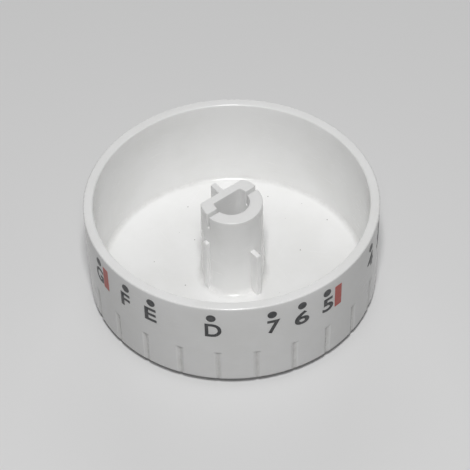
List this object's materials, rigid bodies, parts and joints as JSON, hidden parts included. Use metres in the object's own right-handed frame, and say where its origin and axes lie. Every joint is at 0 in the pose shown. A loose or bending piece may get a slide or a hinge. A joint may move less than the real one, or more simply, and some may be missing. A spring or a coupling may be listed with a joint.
{
  "type": "washing machine timer knob",
  "caption": "Round cup-shaped dial knob, moulded in one piece, with grip grooves round the skirt and a central hub with a D-shaped shaft socket.",
  "frame": {"origin": "centre of the flat front face, on the shaft axis", "axes": "+Z along the shaft axis towards the open back, +X along the flat of the D-shaped socket, -Y towards the socket's round side"},
  "size_m": [0.072, 0.072, 0.0274],
  "materials": {
    "white_plastic": "glossy moulded white",
    "black_ink": "printed",
    "red_ink": "printed"
  },
  "bodies": {
    "root": {"knob": "white_plastic"}
  },
  "joints": []
}
